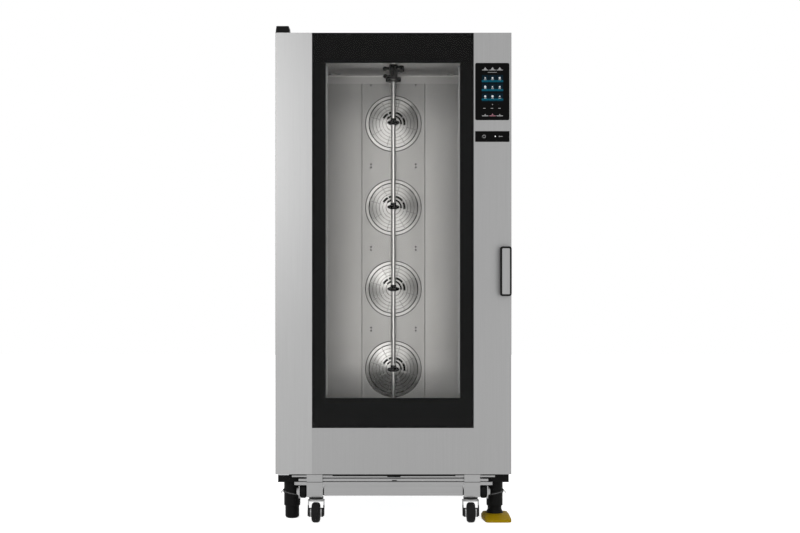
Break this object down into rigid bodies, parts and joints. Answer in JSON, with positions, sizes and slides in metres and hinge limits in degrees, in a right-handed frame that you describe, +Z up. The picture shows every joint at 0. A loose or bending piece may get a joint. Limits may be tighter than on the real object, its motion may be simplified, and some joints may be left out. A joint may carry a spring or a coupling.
{
  "type": "steam convection oven",
  "caption": "Floor-standing roll-in steam convection oven with a glazed side-hinged door, touch controls, fans, wash rotors and a tray trolley under and inside it.",
  "frame": {"origin": "on the floor below the centre of the oven's box", "axes": "+Z up, the door and handle face -Y, +X is the viewer's right seen from the front"},
  "size_m": [0.882, 1.043, 1.866],
  "materials": {
    "brushed_steel": "satin",
    "bright_steel": "satin",
    "galvanised_steel": "satin",
    "zinc_steel": "satin",
    "cavity_steel": "satin",
    "polished_steel": "polished",
    "trolley_steel": "satin",
    "element_steel": "satin",
    "motor_casting": "satin",
    "brass_fittings": "satin",
    "black_paint": "satin",
    "black_plastic": "satin",
    "black_gloss": "gloss",
    "screen_glass": "gloss",
    "black_enamel": "gloss",
    "clear_glass": "polished",
    "light_bar": "satin",
    "mineral_wool": "matte",
    "black_rubber": "matte",
    "wheel_rubber": "satin",
    "yellow_rubber": "satin"
  },
  "bodies": {
    "root": {"base_frame": "galvanised_steel", "legs": "black_paint", "leg_feet": "black_plastic", "foot_boot": "yellow_rubber", "leg_clamps": "zinc_steel", "front_frame": "brushed_steel", "side_panel_left": "brushed_steel", "side_panel_right": "brushed_steel", "rear_panel": "brushed_steel", "roof_panel": "brushed_steel", "cavity_liner": "cavity_steel", "cavity_insulation": "mineral_wool", "cavity_seal": "black_rubber", "fan_cover": "cavity_steel", "fan_guards": "polished_steel", "fan_motors": "motor_casting", "heating_coils": "element_steel", "wash_pipe": "polished_steel", "exhaust_flues": "brushed_steel", "drain_pipe": "brushed_steel", "utility_fittings": "brass_fittings", "electronics_box": "galvanised_steel", "hinge_brackets": "zinc_steel", "hinge_cap": "black_plastic", "latch_striker": "zinc_steel"},
    "door": {"door_frame": "galvanised_steel", "door_left_panel": "bright_steel", "door_front_panel": "brushed_steel", "outer_glass": "clear_glass", "glass_border": "black_enamel", "inner_glass": "clear_glass", "door_light_bars": "light_bar", "door_drip_channel": "brushed_steel", "touch_screen": "screen_glass", "switch_panel": "black_gloss"},
    "power_button": {"power_button": "black_plastic"},
    "handle": {"handle_grip": "black_plastic", "handle_insert": "bright_steel", "latch_spindle": "zinc_steel"},
    "trolley": {"trolley_base": "brushed_steel", "trolley_rack": "trolley_steel", "tray_runners": "trolley_steel", "rear_caster_forks": "zinc_steel"},
    "caster_left": {"caster_fork_left": "zinc_steel"},
    "caster_right": {"caster_fork_right": "zinc_steel"},
    "front_wheel_left": {"front_wheel_left": "wheel_rubber"},
    "front_wheel_right": {"front_wheel_right": "wheel_rubber"},
    "rear_wheel_left": {"rear_wheel_left": "wheel_rubber"},
    "rear_wheel_right": {"rear_wheel_right": "wheel_rubber"},
    "docking_roller_left": {"docking_roller_left": "black_plastic"},
    "docking_roller_right": {"docking_roller_right": "black_plastic"},
    "ceiling_rotor": {"ceiling_rotor": "black_plastic"},
    "fan_1": {"fan_1": "element_steel"},
    "wash_rotor_1": {"wash_rotor_1": "black_plastic"},
    "fan_2": {"fan_2": "element_steel"},
    "wash_rotor_2": {"wash_rotor_2": "black_plastic"},
    "fan_3": {"fan_3": "element_steel"},
    "wash_rotor_3": {"wash_rotor_3": "black_plastic"},
    "fan_4": {"fan_4": "element_steel"},
    "wash_rotor_4": {"wash_rotor_4": "black_plastic"}
  },
  "joints": [
    {"name": "door_hinge", "type": "hinge", "parent": "root", "child": "door", "pos_m": [-0.412, -0.4375, 0], "axis": [0, 0, -1], "range_deg": [0, 180]},
    {"name": "power_button_press", "type": "slide", "parent": "door", "child": "power_button", "axis": [0, 1, 0], "range_m": [0, 0.002], "stiffness_N_per_m": 600},
    {"name": "handle_turn", "type": "hinge", "parent": "door", "child": "handle", "pos_m": [0.41675, -0.4735, 1.0055], "axis": [0, 1, 0], "range_deg": [0, 90]},
    {"name": "trolley_roll", "type": "slide", "parent": "root", "child": "trolley", "axis": [0, -1, 0], "range_m": [0, 0.41]},
    {"name": "caster_left_swivel", "type": "hinge", "parent": "trolley", "child": "caster_left", "pos_m": [-0.289, -0.455, 0.093], "axis": [0, 0, 1], "continuous": true},
    {"name": "caster_right_swivel", "type": "hinge", "parent": "trolley", "child": "caster_right", "pos_m": [0.289, -0.455, 0.093], "axis": [0, 0, 1], "continuous": true},
    {"name": "front_wheel_left_spin", "type": "hinge", "parent": "caster_left", "child": "front_wheel_left", "pos_m": [-0.289, -0.475, 0.0375], "axis": [1, 0, 0], "continuous": true},
    {"name": "front_wheel_right_spin", "type": "hinge", "parent": "caster_right", "child": "front_wheel_right", "pos_m": [0.289, -0.475, 0.0375], "axis": [1, 0, 0], "continuous": true},
    {"name": "rear_wheel_left_spin", "type": "hinge", "parent": "trolley", "child": "rear_wheel_left", "pos_m": [-0.285, 0.12, 0.0375], "axis": [1, 0, 0], "continuous": true},
    {"name": "rear_wheel_right_spin", "type": "hinge", "parent": "trolley", "child": "rear_wheel_right", "pos_m": [0.285, 0.12, 0.0375], "axis": [1, 0, 0], "continuous": true},
    {"name": "docking_roller_left_spin", "type": "hinge", "parent": "root", "child": "docking_roller_left", "pos_m": [-0.338, -0.445, 0.1117], "axis": [1, 0, 0], "continuous": true},
    {"name": "docking_roller_right_spin", "type": "hinge", "parent": "root", "child": "docking_roller_right", "pos_m": [0.338, -0.445, 0.1117], "axis": [1, 0, 0], "continuous": true},
    {"name": "ceiling_rotor_spin", "type": "hinge", "parent": "root", "child": "ceiling_rotor", "pos_m": [0, -0.075, 1.745], "axis": [0, 0, 1], "continuous": true},
    {"name": "fan_1_spin", "type": "hinge", "parent": "root", "child": "fan_1", "pos_m": [0, 0.25, 1.555], "axis": [0, 1, 0], "continuous": true},
    {"name": "wash_rotor_1_spin", "type": "hinge", "parent": "root", "child": "wash_rotor_1", "pos_m": [0, 0.117, 1.555], "axis": [0, 0, 1], "continuous": true},
    {"name": "fan_2_spin", "type": "hinge", "parent": "root", "child": "fan_2", "pos_m": [0, 0.25, 1.20274], "axis": [0, 1, 0], "continuous": true},
    {"name": "wash_rotor_2_spin", "type": "hinge", "parent": "root", "child": "wash_rotor_2", "pos_m": [0, 0.117, 1.20274], "axis": [0, 0, 1], "continuous": true},
    {"name": "fan_3_spin", "type": "hinge", "parent": "root", "child": "fan_3", "pos_m": [0, 0.25, 0.86078], "axis": [0, 1, 0], "continuous": true},
    {"name": "wash_rotor_3_spin", "type": "hinge", "parent": "root", "child": "wash_rotor_3", "pos_m": [0, 0.117, 0.86078], "axis": [0, 0, 1], "continuous": true},
    {"name": "fan_4_spin", "type": "hinge", "parent": "root", "child": "fan_4", "pos_m": [0, 0.25, 0.525], "axis": [0, 1, 0], "continuous": true},
    {"name": "wash_rotor_4_spin", "type": "hinge", "parent": "root", "child": "wash_rotor_4", "pos_m": [0, 0.117, 0.525], "axis": [0, 0, 1], "continuous": true}
  ],
  "couplings": [
    {"joint": "trolley_roll", "follows": "door_hinge", "m_per_rad": 0.13}
  ]
}
